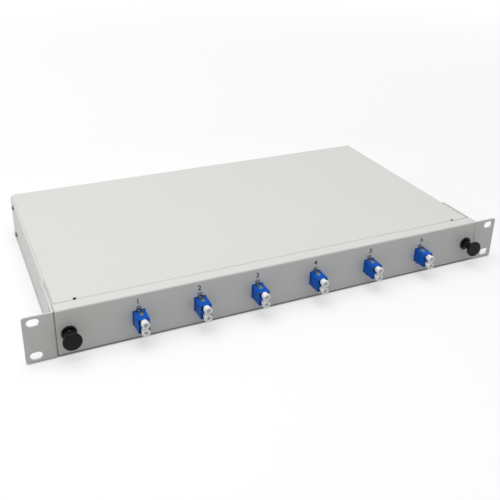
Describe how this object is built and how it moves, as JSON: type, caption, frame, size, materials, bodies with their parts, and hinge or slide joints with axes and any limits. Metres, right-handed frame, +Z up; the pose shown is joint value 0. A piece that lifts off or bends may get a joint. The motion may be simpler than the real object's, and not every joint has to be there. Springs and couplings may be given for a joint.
{
  "type": "pull-out fibre splice box",
  "caption": "Rack-mounted fibre splice box with a sliding drawer, dual-port adapters, dust caps and push-pull latches.",
  "frame": {"origin": "centre of the four rack slots, in the rear face of the two ears", "axes": "+X to the right seen from the front, +Y backwards into the rack, +Z up"},
  "size_m": [0.4826, 0.2893, 0.0442],
  "materials": {
    "grey_powder_coat": "light grey fine-texture powder coat on folded sheet steel",
    "zinc_steel": "bright zinc plate",
    "spring_steel": "plain rolled spring steel",
    "blue_plastic": "moulded blue thermoplastic",
    "white_plastic": "soft moulded white polyethylene",
    "black_nylon": "moulded black nylon, slightly glossy",
    "natural_nylon": "moulded natural nylon",
    "cassette_plastic": "moulded light grey ABS",
    "clear_plastic": "clear polycarbonate",
    "seal_rubber": "black neoprene",
    "zirconia": "ground white zirconia ceramic"
  },
  "bodies": {
    "housing": {"base_shell": "grey_powder_coat", "top_cover": "grey_powder_coat", "rear_panel": "grey_powder_coat", "ear_bracket_left": "grey_powder_coat", "ear_bracket_right": "grey_powder_coat", "ear_screws": "zinc_steel", "ear_nuts": "zinc_steel", "side_screws": "zinc_steel", "cover_screws": "zinc_steel", "latch_plate_left": "zinc_steel", "latch_plate_right": "zinc_steel", "guide_channel_left": "zinc_steel", "guide_channel_right": "zinc_steel", "guide_pads": "natural_nylon", "gland_bodies": "black_nylon", "gland_nuts": "black_nylon", "gland_seals": "seal_rubber", "gland_lock_nuts": "black_nylon", "blanking_plugs": "black_nylon"},
    "drawer": {"front_panel": "grey_powder_coat", "drawer_tray": "grey_powder_coat", "runner_left": "zinc_steel", "runner_right": "zinc_steel", "runner_shoes": "natural_nylon", "latch_grommet_left": "black_nylon", "latch_grommet_right": "black_nylon", "lc_adapter_1": "blue_plastic", "lc_adapter_2": "blue_plastic", "lc_adapter_3": "blue_plastic", "lc_adapter_4": "blue_plastic", "lc_adapter_5": "blue_plastic", "lc_adapter_6": "blue_plastic", "adapter_clips": "spring_steel", "ferrule_sleeves": "zirconia", "adapter_screws": "zinc_steel", "adapter_nuts": "zinc_steel", "rear_dust_caps": "white_plastic", "splice_cassette": "cassette_plastic", "splice_holder": "natural_nylon", "cassette_screws": "zinc_steel", "fibre_guides": "natural_nylon", "fibre_clips": "natural_nylon", "cable_clamps": "black_nylon", "clamp_screws": "zinc_steel"},
    "plunger_left": {"latch_plunger_left": "black_nylon"},
    "plunger_right": {"latch_plunger_right": "black_nylon"},
    "cap_1_upper": {"dust_cap_1_upper": "white_plastic"},
    "cap_1_lower": {"dust_cap_1_lower": "white_plastic"},
    "cap_2_upper": {"dust_cap_2_upper": "white_plastic"},
    "cap_2_lower": {"dust_cap_2_lower": "white_plastic"},
    "cap_3_upper": {"dust_cap_3_upper": "white_plastic"},
    "cap_3_lower": {"dust_cap_3_lower": "white_plastic"},
    "cap_4_upper": {"dust_cap_4_upper": "white_plastic"},
    "cap_4_lower": {"dust_cap_4_lower": "white_plastic"},
    "cap_5_upper": {"dust_cap_5_upper": "white_plastic"},
    "cap_5_lower": {"dust_cap_5_lower": "white_plastic"},
    "cap_6_upper": {"dust_cap_6_upper": "white_plastic"},
    "cap_6_lower": {"dust_cap_6_lower": "white_plastic"},
    "lid": {"cassette_lid": "clear_plastic"}
  },
  "joints": [
    {"name": "drawer_slide", "type": "slide", "parent": "housing", "child": "drawer", "axis": [0, -1, 0], "range_m": [0, 0.15]},
    {"name": "latch_pull_left", "type": "slide", "parent": "drawer", "child": "plunger_left", "axis": [0, -1, 0], "range_m": [0, 0.007]},
    {"name": "latch_pull_right", "type": "slide", "parent": "drawer", "child": "plunger_right", "axis": [0, -1, 0], "range_m": [0, 0.007]},
    {"name": "cap_pull_1_upper", "type": "slide", "parent": "drawer", "child": "cap_1_upper", "axis": [0, -1, 0], "range_m": [0, 0.025]},
    {"name": "cap_pull_1_lower", "type": "slide", "parent": "drawer", "child": "cap_1_lower", "axis": [0, -1, 0], "range_m": [0, 0.025]},
    {"name": "cap_pull_2_upper", "type": "slide", "parent": "drawer", "child": "cap_2_upper", "axis": [0, -1, 0], "range_m": [0, 0.025]},
    {"name": "cap_pull_2_lower", "type": "slide", "parent": "drawer", "child": "cap_2_lower", "axis": [0, -1, 0], "range_m": [0, 0.025]},
    {"name": "cap_pull_3_upper", "type": "slide", "parent": "drawer", "child": "cap_3_upper", "axis": [0, -1, 0], "range_m": [0, 0.025]},
    {"name": "cap_pull_3_lower", "type": "slide", "parent": "drawer", "child": "cap_3_lower", "axis": [0, -1, 0], "range_m": [0, 0.025]},
    {"name": "cap_pull_4_upper", "type": "slide", "parent": "drawer", "child": "cap_4_upper", "axis": [0, -1, 0], "range_m": [0, 0.025]},
    {"name": "cap_pull_4_lower", "type": "slide", "parent": "drawer", "child": "cap_4_lower", "axis": [0, -1, 0], "range_m": [0, 0.025]},
    {"name": "cap_pull_5_upper", "type": "slide", "parent": "drawer", "child": "cap_5_upper", "axis": [0, -1, 0], "range_m": [0, 0.025]},
    {"name": "cap_pull_5_lower", "type": "slide", "parent": "drawer", "child": "cap_5_lower", "axis": [0, -1, 0], "range_m": [0, 0.025]},
    {"name": "cap_pull_6_upper", "type": "slide", "parent": "drawer", "child": "cap_6_upper", "axis": [0, -1, 0], "range_m": [0, 0.025]},
    {"name": "cap_pull_6_lower", "type": "slide", "parent": "drawer", "child": "cap_6_lower", "axis": [0, -1, 0], "range_m": [0, 0.025]},
    {"name": "cassette_lid_lift", "type": "slide", "parent": "drawer", "child": "lid", "axis": [0, 0, 1], "range_m": [0, 0.02]}
  ]
}
